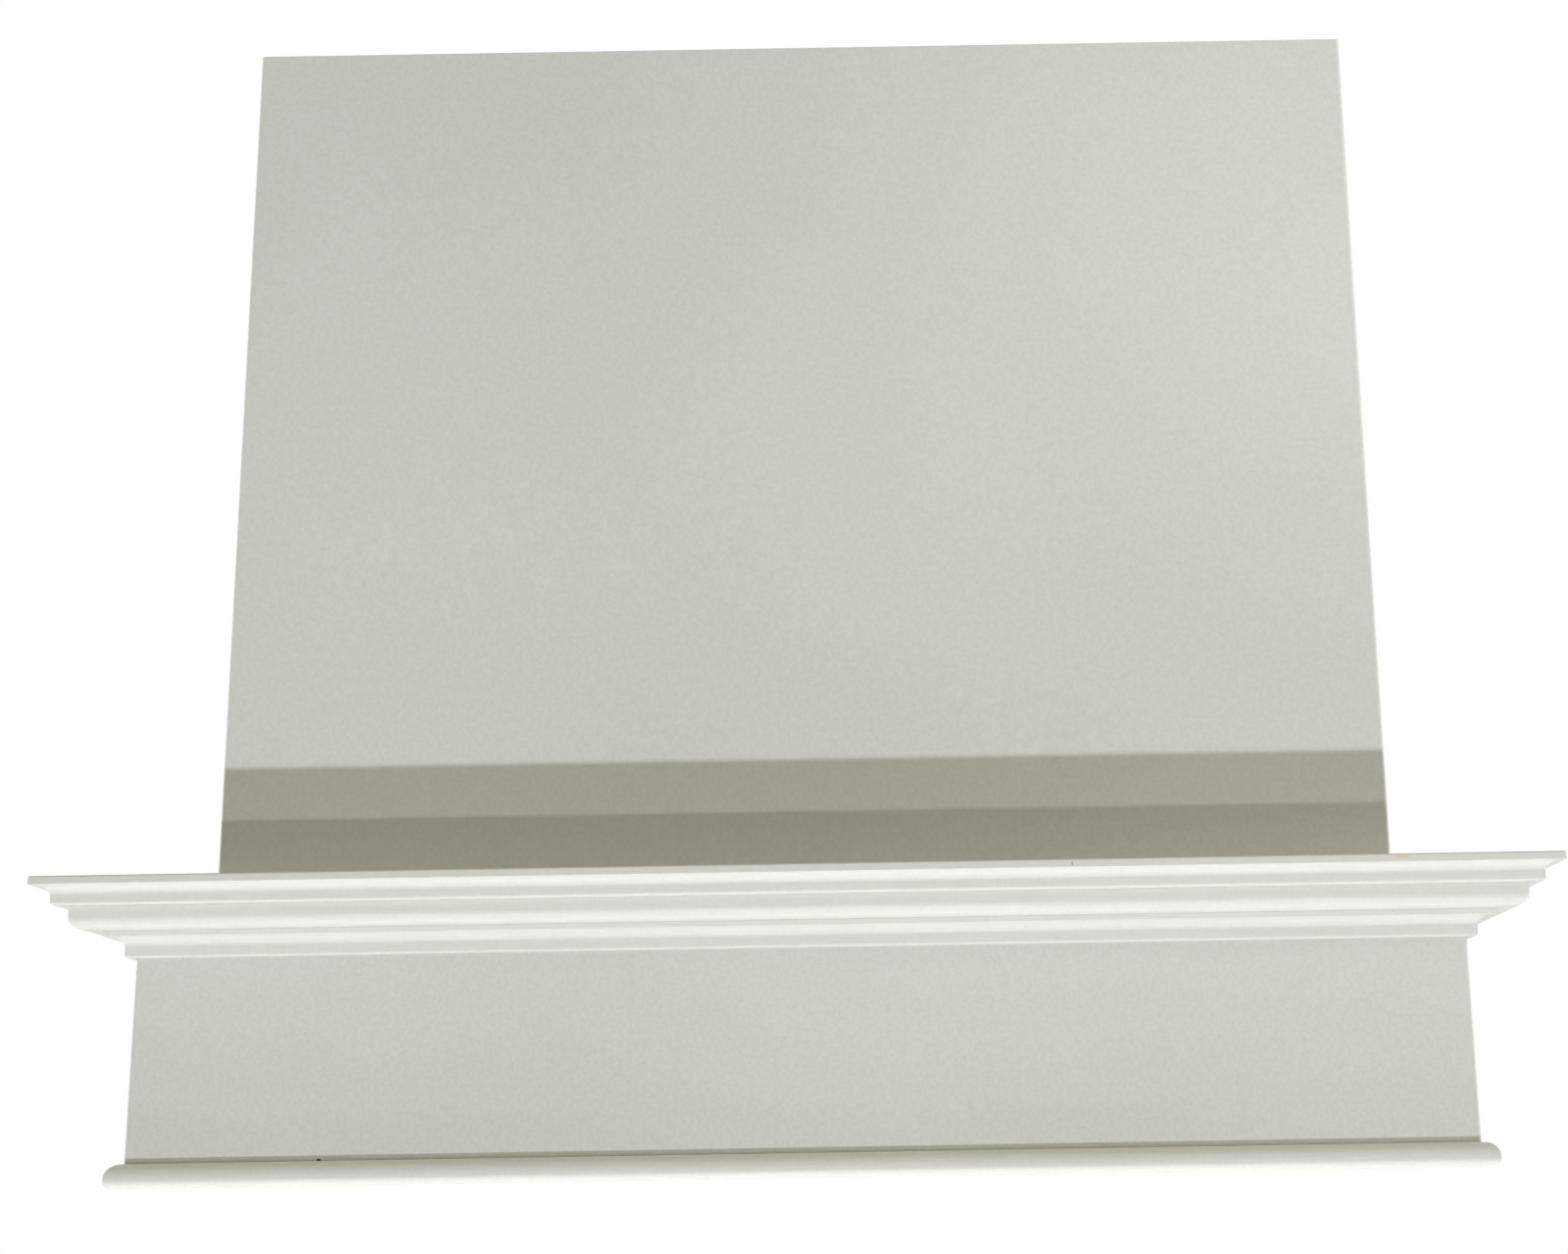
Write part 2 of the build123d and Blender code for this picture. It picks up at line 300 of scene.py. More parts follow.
def plywood(name, shift, shade):
    """Birch plywood in the XZ plane, with its outside at Y = 0; shift moves its figure, shade darkens it."""
    material, tree, shader, spot = new_finish(name, 0.6)
    sheet = vector_maths(tree, "ADD", spot, shift)
    deep = put(tree, "ShaderNodeSeparateXYZ", {0: spot}, output="Y")
    layer = maths(tree, "PINGPONG", maths(tree, "DIVIDE", deep, veneer), 1.0)
    cross = ramp(tree, layer, 0.42, 0.58)
    glue = ramp(tree, maths(tree, "ABSOLUTE", maths(tree, "SUBTRACT", layer, 0.5), 0.0), 0.12, 0.02)
    flame = noise(tree, sheet, 30.0, detail=4.0, roughness=0.6, stretch=(6, 1, 1))
    pore = noise(tree, sheet, 1100.0, roughness=0.6, stretch=(30, 1, 1))
    face = mix_colour(tree, ramp(tree, flame, 0.35, 0.65), birch_warm, birch_pale)
    wood = mix_colour(tree, mix_value(tree, cross, shade, cross_shade), face, ply_dark)
    wood = mix_colour(tree, maths(tree, "MULTIPLY", ramp(tree, pore, 0.55, 0.8), pore_shade), wood, ply_dark)
    wood = mix_colour(tree, maths(tree, "MULTIPLY", glue, glue_shade), wood, ply_dark)
    feed(shader, "Base Color", wood)
    feed(shader, "Normal", bump(tree, pore, 0.05 * MM))
    return material


rail_finish = plywood("birch_plywood_rail", (0.0, 0.0, 0.0), 0.0)
cleat_finish = plywood("birch_plywood_cleat", (1.3, 0.0, 0.7), 0.24)
print("plywood finishes", rail_finish.name, cleat_finish.name)

# %% [markdown]
# Four small finishes are left: zinc on the screws, wood glue that set in the joints, painted shade for the
# inside of an open nail hole and the grey of a nick in the paint. Zinc has a cloudy, faintly crystalline skin,
# so its roughness and colour follow a cell pattern.

# %% Zinc, glue, hole and nick
zinc_dull, zinc_bright = (0.50, 0.50, 0.49), (0.66, 0.65, 0.62)
zinc_finish, tree, shader, spot = new_finish("bright_zinc", 0.34, 1.0)
spangle = put(tree, "ShaderNodeTexVoronoi", {"Vector": spot, "Scale": 1400.0}, output="Color")
cloud = put(tree, "ShaderNodeSeparateColor", {0: spangle})
feed(shader, "Base Color", mix_colour(tree, cloud, zinc_dull, zinc_bright))
feed(shader, "Roughness", mix_value(tree, noise(tree, spot, 900.0), 0.26, 0.44))

glue_amber, glue_pale = (0.72, 0.61, 0.37), (0.82, 0.74, 0.53)
glue_finish, tree, shader, spot = new_finish("dried_glue", 0.28)
clouded = noise(tree, spot, 160.0, detail=3.0)
feed(shader, "Base Color", mix_colour(tree, clouded, glue_amber, glue_pale))
feed(shader, "Normal", bump(tree, clouded, 0.2 * MM))


def speckled(name, roughness, scale, dark, light):
    """A dull finish that wavers between two colours."""
    material, tree, shader, spot = new_finish(name, roughness)
    feed(shader, "Base Color", mix_colour(tree, noise(tree, spot, scale), dark, light))
    return material


# The hole's near-black is painted shade: the shade inside a hole, laid on a flat oval.
hole_shade_finish = speckled("painted_hole_shade", 0.9, 2500.0, (0.010, 0.009, 0.008), (0.03, 0.026, 0.02))
nick_finish = speckled("paint_nick", 0.8, 1800.0, (0.30, 0.28, 0.24), (0.44, 0.42, 0.37))
print("small finishes", zinc_finish.name, glue_finish.name, hole_shade_finish.name, nick_finish.name)

# %% [markdown]
# Every board and moulding here is one outline carried along a straight line. So one function skins an outline
# through a row of stations. Close to each end the outline is set in by a hair, which eases the end's rim: two
# eased ends that meet make the fine groove of a painted joint. Weighted normals keep the wide faces flat and
# let only the eased edges turn the light.

# %% Outlines
joint_ease = 0.35 * MM
rim_ease = 0.7 * MM


def arc(centre, radius, start, sweep, steps=14):
    """Points of an arc, with no ease of their own."""
    turns = [radians(start + sweep * i / steps) for i in range(steps + 1)]
    return [(centre[0] + radius * cos(a), centre[1] + radius * sin(a), 0.0) for a in turns]


def anticlockwise(corners):
    """The same corners, turned round if they run clockwise."""
    area = sum(a[0] * b[1] - b[0] * a[1] for a, b in zip(corners, corners[1:] + corners[:1]))
    return corners if area > 0 else corners[::-1]


def set_in(corners, amount):
    """Anticlockwise corners (x, y, ease) moved inwards, so that every side moves by the amount."""
    moved = []
    for i, (x, y, ease) in enumerate(corners):
        before = (Vector((x, y)) - Vector(corners[i - 1][:2])).normalized()
        after = (Vector(corners[(i + 1) % len(corners)][:2]) - Vector((x, y))).normalized()
        inwards = Vector((-before.y - after.y, before.x + after.x)) / (1 + before.dot(after))
        less_ease = ease and max(ease - amount, ease * 0.1)
        moved.append((x + inwards.x * amount, y + inwards.y * amount, less_ease))
    return moved


def eased(corners, steps=4):
    """Round each corner (x, y, ease) of a closed outline by its ease."""
    outline = []
    for i, (x, y, ease) in enumerate(corners):
        here = Vector((x, y))
        if not ease:
            outline.append(here)
            continue
        before = Vector(corners[i - 1][:2]) - here
        after = Vector(corners[(i + 1) % len(corners)][:2]) - here
        start, end = here + before.normalized() * ease, here + after.normalized() * ease
        for k in range(steps + 1):
            t = k / steps
            outline.append(start * (1 - t) ** 2 + here * 2 * t * (1 - t) + end * t ** 2)
    return outline


print("outline helpers ready, joint ease", joint_ease / MM, "mm")

# %% Skinning an outline
def baked(thing):
    """A plain mesh of an object with its modifiers applied."""
    bpy.context.view_layer.update()
    return bpy.data.meshes.new_from_object(thing.evaluated_get(bpy.context.evaluated_depsgraph_get()))


def settle(name, build, finish, angle=38.0):
    """Turn a bmesh into a finished object with flat faces and soft edges."""
    bmesh.ops.recalc_face_normals(build, faces=build.faces)
    mesh = bpy.data.meshes.new(name)
    build.to_mesh(mesh)
    build.free()
    mesh.polygons.foreach_set("use_smooth", [True] * len(mesh.polygons))
    mesh.set_sharp_from_angle(angle=radians(angle))
    mesh.materials.append(finish)
    piece = bpy.data.objects.new(name, mesh)
    scene.collection.objects.link(piece)
    weights = piece.modifiers.new("flat_faces", "WEIGHTED_NORMAL")
    weights.keep_sharp = True
    kept = baked(piece)
    piece.modifiers.clear()
    piece.data = kept
    kept.name = name
    bpy.data.meshes.remove(mesh)
    return piece


def skin(name, stations, shares, end_shares, finish):
    """Skin closed stations of points; shares say how far paint covers each point of the sides and ends."""
    build = bmesh.new()
    paint = build.loops.layers.float.new("paint")
    uv = build.loops.layers.uv.new("UVMap")
    rings = [[build.verts.new(p) for p in station] for station in stations]
    count = len(shares)
    middle = stations[len(stations) // 2]
    around, along = [0.0], [0.0]
    for i in range(count):
        around.append(around[-1] + (middle[(i + 1) % count] - middle[i]).length)
    for first, second in zip(stations, stations[1:]):
        along.append(along[-1] + (second[0] - first[0]).length)
    for k in range(len(rings) - 1):
        for i in range(count):
            j = (i + 1) % count
            face = build.faces.new((rings[k][i], rings[k][j], rings[k + 1][j], rings[k + 1][i]))
            spots = ((k, i, i), (k, j, i + 1), (k + 1, j, i + 1), (k + 1, i, i))
            for loop, (station, point, step) in zip(face.loops, spots):
                loop[paint] = shares[point]
                loop[uv].uv = (along[station], around[step])
    for ring, share in zip((rings[0], rings[-1]), end_shares):
        for i, loop in enumerate(build.faces.new(ring).loops):
            loop[paint] = shares[i] if share is None else share
            loop[uv].uv = (around[i], 0.0)
    return settle(name, build, finish)


def hang(piece, body="cover", nodes=()):
    """Let a finished piece ride on its body in place of the frame's own nodes."""
    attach(piece, body)
    if nodes:
        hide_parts(*nodes)


print("skinning helpers ready")

# %% [markdown]
# The mouldings and the nose are sections carried round three sides. A section is drawn as distance out from the
# apron's face and height, with the cutter's arcs in it. Where two sides meet, the same point lies as far out on
# both, so a station on the mitre is just the section with its own distance added to each half width.

# %% Mitred runs
def run_stations(section, tight, hand):
    """Stations of a section along the front or along one return; tight is the section at its ends."""
    first_end = ((tight, 0.0), (section, joint_ease))
    last_end = first_end[::-1]
    rows = []
    if hand == "front":
        for side, end in ((-1, first_end), (1, last_end)):
            for outline, gap in end:
                rows.append([(side * (apron_half + p.x - gap), -apron_front - p.x, p.y) for p in outline])
    else:
        side = -1 if hand == "left" else 1
        for outline, gap in first_end:
            rows.append([(side * (apron_half + p.x), -gap, p.y) for p in outline])
        for outline, gap in last_end:
            rows.append([(side * (apron_half + p.x), -apron_front - p.x + gap, p.y) for p in outline])
    return [[Vector(place) for place in row] for row in rows]


def add_run(name, corners, finish, end_share=0.12, replaced=True):
    """Front, left and right lengths of a section; end_share is the paint on the sawn ends at the wall."""
    corners = anticlockwise(corners)
    section = eased(corners)
    tight = eased(set_in(corners, joint_ease)) if replaced else section
    shares = [1.0] * len(section)
    for hand in ("front", "left", "right"):
        ends = (1.0, 1.0) if hand == "front" else (end_share, 1.0)
        node = name + "_" + hand
        piece = skin(node + "_painted", run_stations(section, tight, hand), shares, ends, finish)
        hang(piece, "cover", [node] if replaced else [])
    print(name, len(section), "points round the section")


paint_ease, foot_ease, hollow_ease = 0.5 * MM, 1.7 * MM, 2.0 * MM
soft_sweep = 50.0


def cove_wall(outer):
    """How far out the plain wall below a cove stands."""
    return outer - cove_lip - cove_radius * sin(radians(cove_sweep))


def cove(outer, top):
    """The hollow under a lip: an arc, then its tangent down to the wall, where paint softens the corner."""
    hollow = arc((outer - cove_lip, top - cove_radius), cove_radius, 90, soft_sweep)
    drop = (hollow[-1][0] - cove_wall(outer)) * tan(radians(soft_sweep))
    return hollow + [(cove_wall(outer), hollow[-1][1] - drop, hollow_ease)]


# %% Bed mould, ovolo and ledge
bed_out = -bed_low.y - apron_front
bed_cove = bed_high.z - bed_fillet
bed_section = [(0, bed_low.z, 0), (cove_wall(bed_out), bed_low.z, foot_ease), *cove(bed_out, bed_cove)[::-1],
               (bed_out, bed_cove, paint_ease), (bed_out, bed_high.z, paint_ease), (0, bed_high.z, 0)]
add_run("bed_mould", bed_section, routed_paint_with_painted_light)

ovolo_out = -ovolo_low.y - apron_front
round_from = (ovolo_out - ovolo_radius, ovolo_low.z + ovolo_radius)
ovolo_section = [(0, ovolo_low.z, 0), *arc(round_from, ovolo_radius, -90, 90, 20),
                 (ovolo_out, ovolo_high.z, paint_ease), (0, ovolo_high.z, 0)]
add_run("ovolo", ovolo_section, routed_paint_with_painted_light)

ledge_sanding = 0.1 * MM
ledge_out = -ledge_low.y - apron_front - ledge_sanding
ledge_cove = ledge_high.z - ledge_fillet
ledge_round = (ledge_out - ledge_arris, ledge_high.z - ledge_arris)
ledge_section = [(-build_out, ledge_low.z, 0), (cove_wall(ledge_out), ledge_low.z, foot_ease),
                 *cove(ledge_out, ledge_cove)[::-1], (ledge_out, ledge_cove, paint_ease),
                 *arc(ledge_round, ledge_arris, 0, 90, 8), (-build_out, ledge_high.z, 0)]
add_run("ledge", ledge_section, routed_paint_with_painted_light)

# %% [markdown]
# The nose board runs below the apron: a wide round on top and a tight one below, so that it reads as a soft
# roll under the flat apron.

# %% Nose
nose_out = -nose_low.y - apron_front
upper_round = (nose_out - nose_upper_radius, nose_high.z - nose_upper_radius)
lower_round = (nose_out - nose_lower_radius, nose_low.z + nose_lower_radius)
nose_section = [(-build_out, nose_low.z, 0), *arc(lower_round, nose_lower_radius, -90, 90, 16),
                *arc(upper_round, nose_upper_radius, 0, 90, 20), (-build_out, nose_high.z, 0)]
add_run("nose", nose_section, routed_paint_with_painted_light)

# %% [markdown]
# The caulk is the painter's: a thin concave bead where the box stands on the ledge. Its section is a small
# triangle with a hollow front, and it goes round on the same function as the mouldings.

# %% Caulk
caulk_size, caulk_hollow, caulk_sink = 3.0 * MM, 0.93, 0.3 * MM
foot = (-build_out - caulk_sink, ledge_high.z - caulk_sink)
hollow = arc((foot[0] + caulk_size, foot[1] + caulk_size), caulk_size * caulk_hollow, 180, 90, 8)
add_run("caulk", [(*foot, 0), *hollow[::-1]], rolled_paint, end_share=1.0, replaced=False)

# %% [markdown]
# The upright boards are plans carried up: the box's front panel with its rounded corners and its rabbets for
# the side panels, the sides themselves, and the apron boards, which meet in a mitre under a rounded corner. The
# paint reaches round the outer edge and gives out across the cut top and back.

# %% Box panels
edge_slack, corner_slack, apron_slack = 1.0 * MM, 3.0 * MM, 2.0 * MM


def upright(node, kind, corners, low, high, rim, painted):
    """A plan carried from low to high, eased by rim on top; painted tells which points the roller reached."""
    corners = anticlockwise(corners)
    plan = eased(corners)
    top_round = ((high - rim, 0.0), (high - rim * 0.3, rim * 0.3), (high, rim))
    levels = ((low, joint_ease), (low + joint_ease, 0.0), *top_round)
    stations = [[Vector((p.x, p.y, z)) for p in eased(set_in(corners, inset))] for z, inset in levels]
    shares = [1.0 if painted(p) else 0.0 for p in plan]
    piece = skin(node + "_" + kind, stations, shares, (None, None), rolled_paint)
    hang(piece, "cover", [node])
    print(piece.name, len(plan), "points in plan")


lip = inner_front + panel_rabbet


def front_painted(p):
    """True on the front panel's face, its rounded corners and the edges beside them."""
    beside = p.y < -lip + edge_slack and abs(p.x) > inner_half + edge_slack
    return beside or p.y < -body_front + corner_slack


near_left = (-body_half + body_arris, -body_front + body_arris)
near_right = (body_half - body_arris, -body_front + body_arris)
front_plan = [(-body_half, -lip, joint_ease), *arc(near_left, body_arris, 180, 90, 8),
              *arc(near_right, body_arris, 270, 90, 8), (body_half, -lip, joint_ease), (inner_half, -lip, 0),
              (inner_half, -inner_front, 0), (-inner_half, -inner_front, 0), (-inner_half, -lip, 0)]
upright("body_front", "panel", front_plan, body_low.z, body_top, rim_ease, front_painted)

for hand, side in (("left", -1), ("right", 1)):
    side_plan = [(side * body_half, -lip, joint_ease), (side * inner_half, -lip, 0),
                 (side * inner_half, 0, rim_ease), (side * body_half, 0, rim_ease)]
    upright("body_" + hand, "panel", side_plan, body_low.z, body_top, rim_ease,
            lambda p: abs(p.x) > body_half - edge_slack)

# %% Apron boards
apron_back = apron_front - apron_board
apron_inside = apron_half - apron_board
corner_left = (-apron_half + apron_arris, -apron_front + apron_arris)
corner_right = (apron_half - apron_arris, -apron_front + apron_arris)
apron_plan = [(-apron_inside, -apron_back, 0), *arc(corner_left, apron_arris, 225, 45, 5),
              *arc(corner_right, apron_arris, 270, 45, 5), (apron_inside, -apron_back, 0)]
upright("apron_front", "board", apron_plan, apron_low.z, apron_high.z, joint_ease,
        lambda p: p.y < -apron_front + apron_slack)

for hand, side, corner, start in (("left", -1, corner_left, 180), ("right", 1, corner_right, 360)):
    return_plan = [(side * apron_half, 0, rim_ease), *arc(corner, apron_arris, start, -45 * side, 5),
                   (side * apron_inside, -apron_back, 0), (side * apron_inside, 0, rim_ease)]
    upright("apron_" + hand, "board", return_plan, apron_low.z, apron_high.z, joint_ease,
            lambda p: abs(p.x) > apron_half - apron_slack)

# %% [markdown]
# The strips, blocks and rails inside have the right shape in the frame, holes included, but their edges are
# knife sharp. Each gets a merged copy whose long edges are eased as sawn timber is. Short edges, such as the
# rims of drilled holes, stay sharp.

# %% Inner timber
saw_ease, ply_ease = 0.9 * MM, 1.3 * MM
long_edge, sharp_angle = 25.0 * MM, radians(35)
weld_gap, flat_angle = 0.005 * MM, radians(0.5)


def eased_copy(name, node, finish, ease, body):
    """A copy of a frame node with its long, sharp edges eased."""
    build = bmesh.new()
    build.from_mesh(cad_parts[node].data)
    bmesh.ops.remove_doubles(build, verts=build.verts, dist=weld_gap)
    bmesh.ops.dissolve_limit(build, angle_limit=flat_angle, verts=build.verts, edges=build.edges)
    edges = [e for e in build.edges if len(e.link_faces) == 2 and e.calc_length() > long_edge
             and e.calc_face_angle() > sharp_angle]
    bmesh.ops.bevel(build, geom=edges, offset=ease, segments=2, profile=0.5, affect="EDGES",
                    clamp_overlap=False)
    hang(settle(name, build, finish), body, [node])
    return len(edges)


grain_way = {"front": "front", "left": "side", "right": "side"}
strips = [(kind + "_" + h, grain_way[h]) for kind in ("top_nailer", "insert_ledger") for h in grain_way]
strips += [("furring_" + h + "_" + level, grain_way[h]) for h in grain_way for level in ("lower", "upper")]
strips += [("corner_block_left", "upright"), ("corner_block_right", "upright")]
for node, way in strips:
    eased_copy(node + "_timber", node, pine_finish[way], saw_ease, "cover")
for node, finish, body in (("hanging_rail", rail_finish, "cover"), ("lower_rear_rail", rail_finish, "cover"),
                           ("wall_cleat", cleat_finish, "wall_side")):
    print(node, eased_copy(node + "_ply", node, finish, ply_ease, body), "edges eased")
print(len(strips), "strips and blocks eased")

# %% [markdown]
# The screws are all alike: a washer under a domed head, a square socket for the driver, and a coarse thread.
# One is modelled as rings of points round its axis; the socket is a ring whose radius follows a square, and the
# thread is a radius that rises and falls as it winds down.

# %% One screw
washer_radius, head_radius, shank_radius = 4.2 * MM, 3.1 * MM, 2.1 * MM
head_height = 2.2 * MM
socket_rings = ((0.9, 1.5), (1.2, 0.1), (1.32, 0.0))  # mm from the axis to a side, mm below the top
dome_rings = ((0.72, 0.06), (0.9, 0.28), (1.0, 0.75), (1.0, 1.25))  # share of the radius, mm below the top
washer_rings = ((0.15, 0.85), (0.0, 0.65), (0.0, 0.15), (0.15, 0.0))  # mm in from the rim, mm above the wood
thread_pitch, thread_core, rings_per_turn = 1.7 * MM, 0.62, 5
point_length, point_share, neck_share = 3.5 * MM, 0.08, 0.8
ring_points = 32


def close_rings(build, rings):
    """Skin rings of points into a closed shape."""
    count = len(rings[0])
    for first, second in zip(rings, rings[1:]):
        for i in range(count):
            j = (i + 1) % count
            build.faces.new((first[i], first[j], second[j], second[i]))
    build.faces.new(rings[0])
    build.faces.new(rings[-1])


def square_radius(angle, half):
    """Distance from the middle of a square to its side at an angle."""
    return half / max(abs(cos(angle)), abs(sin(angle)))


def screw_mesh(name, length):
    """A screw whose washer sits on Z = 0 and whose shank points down."""
    build = bmesh.new()
    turns = [2 * pi * i / ring_points for i in range(ring_points)]
    rings = []

    def ring(radius, height):
        rings.append([build.verts.new((radius(a) * cos(a), radius(a) * sin(a), height)) for a in turns])

    for half, drop in socket_rings:
        ring(lambda a, h=half * MM: square_radius(a, h), head_height - drop * MM)
    for share, drop in dome_rings:
        ring(lambda a, r=head_radius * share: r, head_height - drop * MM)
    for inset, height in washer_rings:
        ring(lambda a, r=washer_radius - inset * MM: r, height * MM)
    ring(lambda a: shank_radius * neck_share, 0.0)
    steps = int(length / (thread_pitch / rings_per_turn))
    for k in range(1, steps + 1):
        deep = length * k / steps
        taper = min(1.0, max(point_share, (length - deep) / point_length))

        def threaded(a, deep=deep, taper=taper):
            crest = max(0.0, cos(a + 2 * pi * deep / thread_pitch)) ** 2
            return shank_radius * taper * (thread_core + (1 - thread_core) * crest)

        ring(threaded, -deep)
    close_rings(build, rings)
    return settle(name, build, zinc_finish, angle=50.0)


ledger_screw = screw_mesh("ledger_screw_pattern", length=29.9 * MM)
pocket_screw = screw_mesh("pocket_screw_pattern", length=32.6 * MM)
print("one screw has", len(ledger_screw.data.polygons), "faces")

# %% [markdown]
# Fifteen screws hold the frame. A node tree sets one on every point of a guide mesh: the point's aim attribute
# turns it into its hole, and a seeded turn about its own axis leaves the sockets as a driver would. The tree
# ends in real mesh, because instances would be lost later.

# %% Helpers for node trees
def new_tree(name, inputs):
    """An empty geometry tree with inputs, given as (name, socket kind, value), and a finish."""
    tree = bpy.data.node_groups.new(name, "GeometryNodeTree")
    tree.interface.new_socket("Geometry", in_out="INPUT", socket_type="NodeSocketGeometry")
    for label, kind, value in (*inputs, ("Finish", "Material", None)):
        socket = tree.interface.new_socket(label, in_out="INPUT", socket_type="NodeSocket" + kind)
        if value is not None:
            socket.default_value = value
    tree.interface.new_socket("Geometry", in_out="OUTPUT", socket_type="NodeSocketGeometry")
    return tree, tree.nodes.new("NodeGroupInput").outputs


def aimed(tree):
    """The aim kept on each point, and the rotation that turns Z to it."""
    toward = put(tree, "GeometryNodeInputNamedAttribute", {"Name": "aim"}, data_type="FLOAT_VECTOR")
    return toward, put(tree, "FunctionNodeAlignRotationToVector", {"Vector": toward}, axis="Z")


def close_tree(tree, geometry, finish):
    """Make instances real, give them their finish and send them out."""
    real = put(tree, "GeometryNodeRealizeInstances", {0: geometry})
    dressed = put(tree, "GeometryNodeSetMaterial", {"Geometry": real, "Material": finish})
    tree.links.new(dressed, tree.nodes.new("NodeGroupOutput").inputs[0])


def guide_mesh(name, points, edges=(), aims=None):
    """A guide of points and edges; aims are kept as a vector on each point."""
    mesh = bpy.data.meshes.new(name)
    mesh.from_pydata(points, edges, [])
    if aims:
        layer = mesh.attributes.new("aim", "FLOAT_VECTOR", "POINT")
        layer.data.foreach_set("vector", [c for a in aims for c in a])
    return mesh


def guide_lines(name, lines, aims=None):
    """A guide of separate lines, given by their two ends, with one aim for each line."""
    ends = [end for line in lines for end in line]
    pairs = [(2 * i, 2 * i + 1) for i in range(len(lines))]
    return guide_mesh(name, ends, pairs, aims and [a for a in aims for _ in range(2)])


def grow(name, guide, tree, values):
    """Run a tree over a guide mesh and keep the result as a plain object."""
    maker = bpy.data.objects.new(name + "_guide", guide)
    scene.collection.objects.link(maker)
    modifier = maker.modifiers.new("grow", "NODES")
    modifier.node_group = tree
    sockets = {i.name: i.identifier for i in tree.interface.items_tree if i.in_out == "INPUT"}
    for label, value in values.items():
        modifier[sockets[label]] = value
    mesh = baked(maker)
    bpy.data.objects.remove(maker)
    mesh.name = name
    piece = bpy.data.objects.new(name, mesh)
    scene.collection.objects.link(piece)
    print(name, len(mesh.polygons), "faces")
    return piece


# %% Setting the screws
screw_inputs = [("Pattern", "Object", None), ("Sink", "Float", 0.0), ("Seed", "Int", 1)]
screw_tree, given = new_tree("set_screws", screw_inputs)
pattern = put(screw_tree, "GeometryNodeObjectInfo", {"Object": given["Pattern"]}, output="Geometry")
toward, facing = aimed(screw_tree)
chance = put(screw_tree, "FunctionNodeRandomValue", {2: 0.0, 3: 2 * pi, "Seed": given["Seed"]}, output=1)
spin = put(screw_tree, "FunctionNodeAxisAngleToRotation", {"Axis": (0.0, 0.0, 1.0), "Angle": chance})
turning = {"Rotation": facing, "Rotate By": spin}
turned = put(screw_tree, "FunctionNodeRotateRotation", turning, rotation_space="LOCAL")
sunk = vector_maths(screw_tree, "SCALE", toward, given["Sink"])
holes = put(screw_tree, "GeometryNodeSetPosition", {"Geometry": given["Geometry"], "Offset": sunk})
setting = {"Points": holes, "Instance": pattern, "Rotation": turned}
screws = put(screw_tree, "GeometryNodeInstanceOnPoints", setting)
close_tree(screw_tree, screws, given["Finish"])


def set_screws(node, seats, pattern, seed):
    """Set a copy of the pattern on every seat, given as (point, way out of the hole), and drop the pattern."""
    guide = guide_mesh(node + "_seats", [p for p, a in seats], aims=[a for p, a in seats])
    values = {"Pattern": pattern, "Seed": seed, "Finish": zinc_finish}
    hang(grow(node + "_zinc", guide, screw_tree, values), "cover", [node])
    bpy.data.objects.remove(pattern)


# %% Ledger screws
def spread(span, count):
    """Even places along a span, half a step in from each end."""
    return [span * (i + 0.5) / count - span / 2 for i in range(count)]


corner_reach = 30.0 * MM
strip = ledger_high.y - ledger_low.y
strip_middle = (ledger_low.z + ledger_high.z) / 2
ledger_middle = -(inner_front - strip + rail_thickness) / 2
ledger_seats = []
for x in spread(2 * (inner_half - corner_reach), 3):
    ledger_seats.append(((x, -inner_front + strip, strip_middle), (0, 1, 0)))
for side in (-1, 1):
    for y in spread(inner_front - strip - rail_thickness, 2):
        ledger_seats.append(((side * (inner_half - strip), ledger_middle + y, strip_middle), (-side, 0, 0)))
set_screws("ledger_screws", ledger_seats, ledger_screw, seed=4)

# %% Pocket screws
pocket_slope, pocket_setback, pocket_pitch = radians(15), 20.0 * MM, 44.0 * MM
hang_low, hang_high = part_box("hanging_rail")
pocket_seats = []
for middle in ((hang_low.z + rail_thickness + hang_high.z) / 2, rail_high.z / 2):
    for side in (-1, 1):
        way = Vector((side * cos(pocket_slope), sin(pocket_slope), 0))
        for z in (middle - pocket_pitch / 2, middle + pocket_pitch / 2):
            entry = Vector((side * inner_half, -rail_thickness / 2, z))
            pocket_seats.append((entry - way * pocket_setback / cos(pocket_slope), -way))
set_screws("pocket_screws", pocket_seats, pocket_screw, seed=9)

# %% [markdown]
# The mouldings are glued and pinned with brads. A painter fills each brad hole and the roller passes over it,
# so what is left is a faint round rise of filler. A tree spaces flat domes along guide lines on the faces.

# %% Filled brad holes
brad_inputs = [("Spacing", "Float", 0.15), ("Radius", "Float", 0.0013), ("Rise", "Float", 0.0001),
               ("Seed", "Int", 1)]
brad_tree, given = new_tree("fill_brads", brad_inputs)
rows = put(brad_tree, "GeometryNodeMeshToCurve", {"Mesh": given["Geometry"]})
spacing = {"Curve": rows, "Length": given["Spacing"]}
points = put(brad_tree, "GeometryNodeCurveToPoints", spacing, mode="LENGTH")
toward, facing = aimed(brad_tree)
dome = put(brad_tree, "GeometryNodeMeshUVSphere", {"Segments": 12, "Rings": 6, "Radius": 1.0})
size = put(brad_tree, "ShaderNodeCombineXYZ", {0: given["Radius"], 1: given["Radius"], 2: given["Rise"]})
chance = put(brad_tree, "FunctionNodeRandomValue", {2: 0.8, 3: 1.15, "Seed": given["Seed"]}, output=1)
sized = vector_maths(brad_tree, "SCALE", size, chance)
filling = {"Points": points, "Instance": dome, "Rotation": facing, "Scale": sized}
domes = put(brad_tree, "GeometryNodeInstanceOnPoints", filling)
close_tree(brad_tree, domes, given["Finish"])

brad_inset, brad_spacing = 45.0 * MM, 152.0 * MM
board_margin, mould_margin = 20.0 * MM, 4.0 * MM


